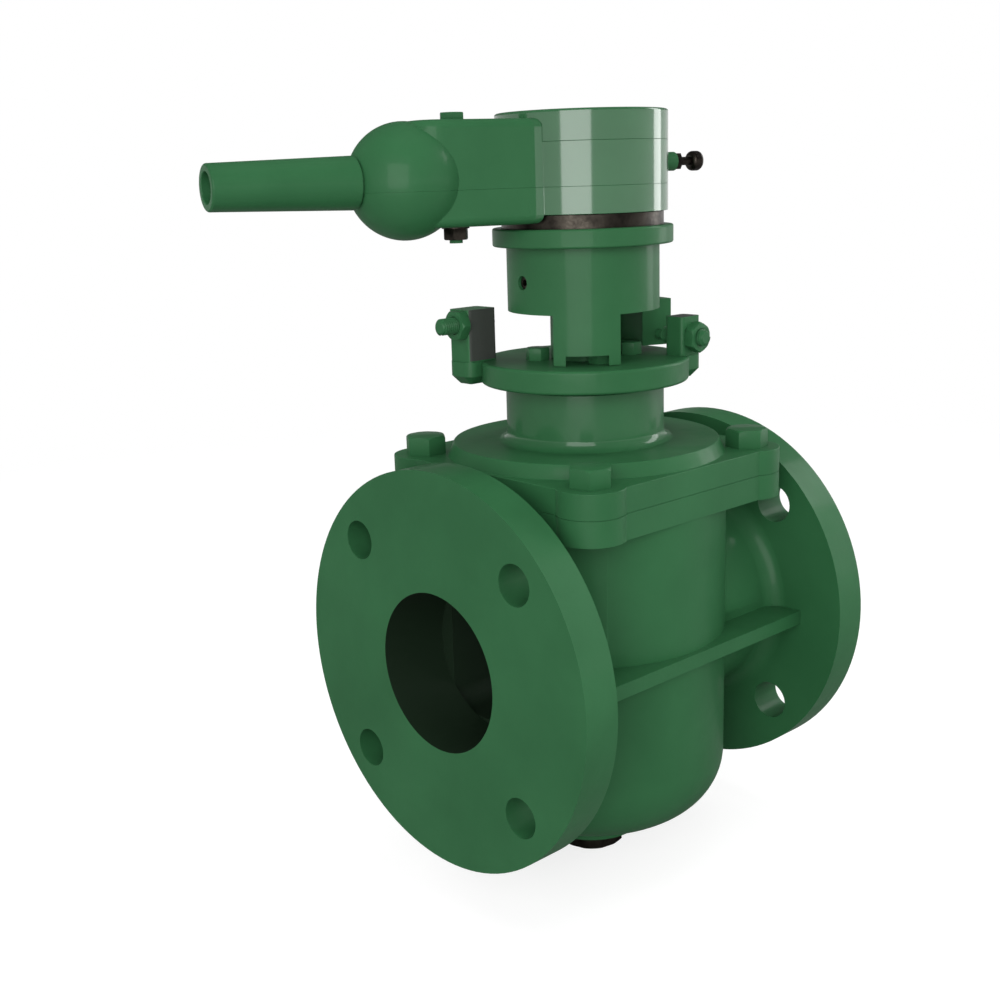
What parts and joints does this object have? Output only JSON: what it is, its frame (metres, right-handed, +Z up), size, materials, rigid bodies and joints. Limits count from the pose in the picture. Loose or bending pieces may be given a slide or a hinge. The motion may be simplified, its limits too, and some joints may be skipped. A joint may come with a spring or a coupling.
{
  "type": "plug valve",
  "caption": "Flanged taper plug valve with a round barrel body and a lever-worked yoke on top that lifts the plug off its seat, turns it a quarter turn and reseats it",
  "frame": {"origin": "centre of the inlet flange face, on the pipe axis", "axes": "+X along the pipe from the inlet face to the outlet face, +Z up along the stem, +Y across"},
  "size_m": [0.2794, 0.1904, 0.3705],
  "materials": {
    "green_paint": "glossy machine paint over castings",
    "dark_bare_steel": "dark oiled steel, slightly brown",
    "machined_steel": "plain turned steel",
    "plug_iron": "ground taper plug",
    "bronze": "plain turned bronze",
    "packing": "pressed graphite packing",
    "gasket_sheet": "compressed fibre sheet"
  },
  "bodies": {
    "valve": {"valve_body": "green_paint", "bottom_plug": "dark_bare_steel", "cover_gasket": "gasket_sheet", "cover": "green_paint", "cover_bolts": "dark_bare_steel", "packing_rings": "packing", "packing_nut": "machined_steel", "stop_plate": "green_paint", "stop_plate_bolts": "dark_bare_steel", "stop_screws": "dark_bare_steel", "stop_screw_nuts": "dark_bare_steel"},
    "yoke_body": {"yoke": "green_paint", "yoke_foot_nut": "machined_steel", "foot_washer": "bronze", "thrust_ring": "dark_bare_steel", "thrust_collar": "machined_steel", "yoke_grub_screw": "dark_bare_steel"},
    "plug": {"taper_plug": "plug_iron"},
    "lever": {"lever_keeper": "green_paint", "lever_head": "green_paint", "head_cap": "green_paint", "cap_screws": "dark_bare_steel", "lift_nut": "bronze", "clamp_bolt": "dark_bare_steel", "clamp_nut": "dark_bare_steel", "clamp_washer": "dark_bare_steel", "handle_socket": "green_paint", "grease_fitting": "dark_bare_steel"}
  },
  "joints": [
    {"name": "plug_turn", "type": "hinge", "parent": "valve", "child": "yoke_body", "pos_m": [0.1016, 0, 0.13], "axis": [0, 0, 1], "range_deg": [0, 90]},
    {"name": "plug_lift", "type": "slide", "parent": "yoke_body", "child": "plug", "axis": [0, 0, 1], "range_m": [0, 0.003]},
    {"name": "lever_swing", "type": "hinge", "parent": "yoke_body", "child": "lever", "pos_m": [0.1016, 0, 0.21], "axis": [0, 0, 1], "range_deg": [0, 28]}
  ],
  "couplings": [
    {"joint": "plug_lift", "follows": "lever_swing", "m_per_rad": 0.006138}
  ]
}
